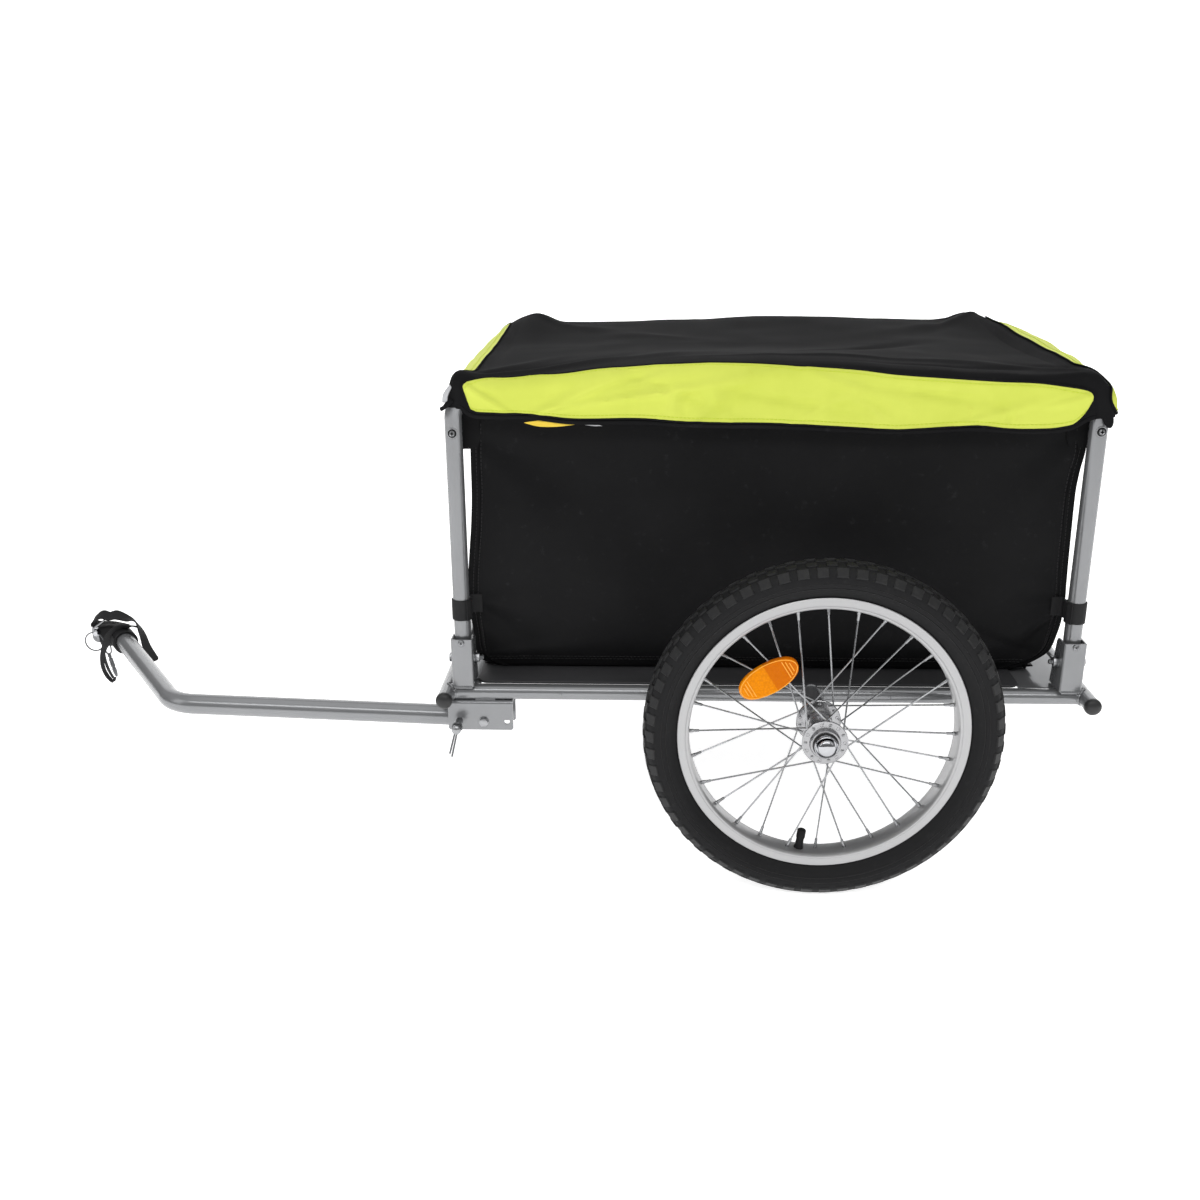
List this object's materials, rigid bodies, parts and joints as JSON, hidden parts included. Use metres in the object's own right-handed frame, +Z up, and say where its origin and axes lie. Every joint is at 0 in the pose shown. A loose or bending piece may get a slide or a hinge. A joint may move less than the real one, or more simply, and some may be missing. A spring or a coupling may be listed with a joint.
{
  "type": "bicycle cargo trailer",
  "caption": "Folding bicycle cargo trailer: steel frame on spoked quick-release wheels, sewn bag between fold-down sides, lift-off fabric cover and side drawbar with a pin hitch.",
  "frame": {"origin": "on the ground, under the centre of the whole trailer's plan box; the tyres' lowest points are at z = 0", "axes": "+Z up, -X towards the towing bicycle, -Y the trailer's left side, which carries the drawbar"},
  "size_m": [1.3212, 0.81, 0.589],
  "materials": {
    "painted_steel": "silver-grey metallic paint, satin",
    "zinc_steel": "zinc plated",
    "chrome": "polished",
    "aluminium": "satin",
    "rubber": "black rubber",
    "amber": "amber, glossy",
    "black_plastic": "black, moulded",
    "floor_board": "dark grey",
    "bag_fabric": "coated black woven polyester",
    "cover_fabric": "coated woven polyester, black top with yellow-green sides",
    "webbing": "black webbing"
  },
  "bodies": {
    "base": {"front_cross_tube": "painted_steel", "rear_cross_tube": "painted_steel", "floor_board": "floor_board", "drawbar_bracket": "painted_steel", "drawbar_pivot_bolt": "zinc_steel", "bag_ends_and_floor": "bag_fabric", "rail_left": "painted_steel", "axle_socket_left": "painted_steel", "bag_left": "bag_fabric", "post_bracket_front_left": "painted_steel", "end_cap_front_left": "black_plastic", "post_bolt_front_left": "zinc_steel", "lock_screw_front_left": "zinc_steel", "post_bracket_rear_left": "painted_steel", "end_cap_rear_left": "black_plastic", "post_bolt_rear_left": "zinc_steel", "lock_screw_rear_left": "zinc_steel", "rail_right": "painted_steel", "axle_socket_right": "painted_steel", "bag_right": "bag_fabric", "post_bracket_front_right": "painted_steel", "end_cap_front_right": "black_plastic", "post_bolt_front_right": "zinc_steel", "lock_screw_front_right": "zinc_steel", "post_bracket_rear_right": "painted_steel", "end_cap_rear_right": "black_plastic", "post_bolt_rear_right": "zinc_steel", "lock_screw_rear_right": "zinc_steel"},
    "axle_left": {"axle_left": "zinc_steel"},
    "wheel_left": {"tyre_left": "rubber", "rim_left": "aluminium", "hub_and_spokes_left": "zinc_steel", "reflector_left": "amber"},
    "button_left": {"release_button_left": "chrome"},
    "side_frame_left": {"side_frame_left": "painted_steel", "corner_screw_front_left": "zinc_steel", "corner_screw_rear_left": "zinc_steel", "bag_strap_front_left": "webbing", "bag_strap_rear_left": "webbing"},
    "axle_right": {"axle_right": "zinc_steel"},
    "wheel_right": {"tyre_right": "rubber", "rim_right": "aluminium", "hub_and_spokes_right": "zinc_steel", "reflector_right": "amber"},
    "button_right": {"release_button_right": "chrome"},
    "side_frame_right": {"side_frame_right": "painted_steel", "corner_screw_front_right": "zinc_steel", "corner_screw_rear_right": "zinc_steel", "bag_strap_front_right": "webbing", "bag_strap_rear_right": "webbing"},
    "drawbar": {"drawbar": "painted_steel", "hitch_fitting": "painted_steel", "safety_strap": "webbing", "tether_strap": "webbing", "snap_hook": "zinc_steel"},
    "lock_pin": {"lock_pin": "zinc_steel", "lock_pin_clip": "zinc_steel"},
    "hitch_pin": {"hitch_pin": "zinc_steel"},
    "hitch_ring": {"hitch_ring": "zinc_steel"},
    "cover": {"cover": "cover_fabric"}
  },
  "joints": [
    {"name": "axle_pull_left", "type": "slide", "parent": "base", "child": "axle_left", "axis": [0, -1, 0], "range_m": [0, 0.09]},
    {"name": "wheel_spin_left", "type": "hinge", "parent": "axle_left", "child": "wheel_left", "pos_m": [0.329, -0.355, 0.2], "axis": [0, 1, 0], "continuous": true},
    {"name": "button_press_left", "type": "slide", "parent": "axle_left", "child": "button_left", "axis": [0, 1, 0], "range_m": [0, 0.003], "stiffness_N_per_m": 800, "springref_m": -0.002},
    {"name": "axle_pull_right", "type": "slide", "parent": "base", "child": "axle_right", "axis": [0, 1, 0], "range_m": [0, 0.09]},
    {"name": "wheel_spin_right", "type": "hinge", "parent": "axle_right", "child": "wheel_right", "pos_m": [0.329, 0.355, 0.2], "axis": [0, 1, 0], "continuous": true},
    {"name": "button_press_right", "type": "slide", "parent": "axle_right", "child": "button_right", "axis": [0, -1, 0], "range_m": [0, 0.003], "stiffness_N_per_m": 800, "springref_m": -0.002},
    {"name": "side_fold_left", "type": "hinge", "parent": "base", "child": "side_frame_left", "pos_m": [0.329, -0.247, 0.245], "axis": [-1, 0, 0], "range_deg": [0, 90], "deforming": ["bag_left", "bag_right", "bag_ends_and_floor"]},
    {"name": "side_fold_right", "type": "hinge", "parent": "base", "child": "side_frame_right", "pos_m": [0.329, 0.247, 0.245], "axis": [1, 0, 0], "range_deg": [0, 80]},
    {"name": "drawbar_fold", "type": "hinge", "parent": "base", "child": "drawbar", "pos_m": [-0.0655, -0.242, 0.1653], "axis": [0, -1, 0], "range_deg": [0, 175]},
    {"name": "lock_pin_pull", "type": "slide", "parent": "base", "child": "lock_pin", "axis": [0, -1, 0], "range_m": [0, 0.05]},
    {"name": "hitch_pin_pull", "type": "slide", "parent": "drawbar", "child": "hitch_pin", "axis": [0, -1, 0], "range_m": [0, 0.03]},
    {"name": "hitch_ring_swing", "type": "hinge", "parent": "hitch_pin", "child": "hitch_ring", "pos_m": [-0.64675, -0.02348, 0.19209], "axis": [-1, 0, 0], "range_deg": [-8, 80]},
    {"name": "cover_lift", "type": "slide", "parent": "base", "child": "cover", "axis": [0, 0, 1], "range_m": [0, 0.4]}
  ]
}
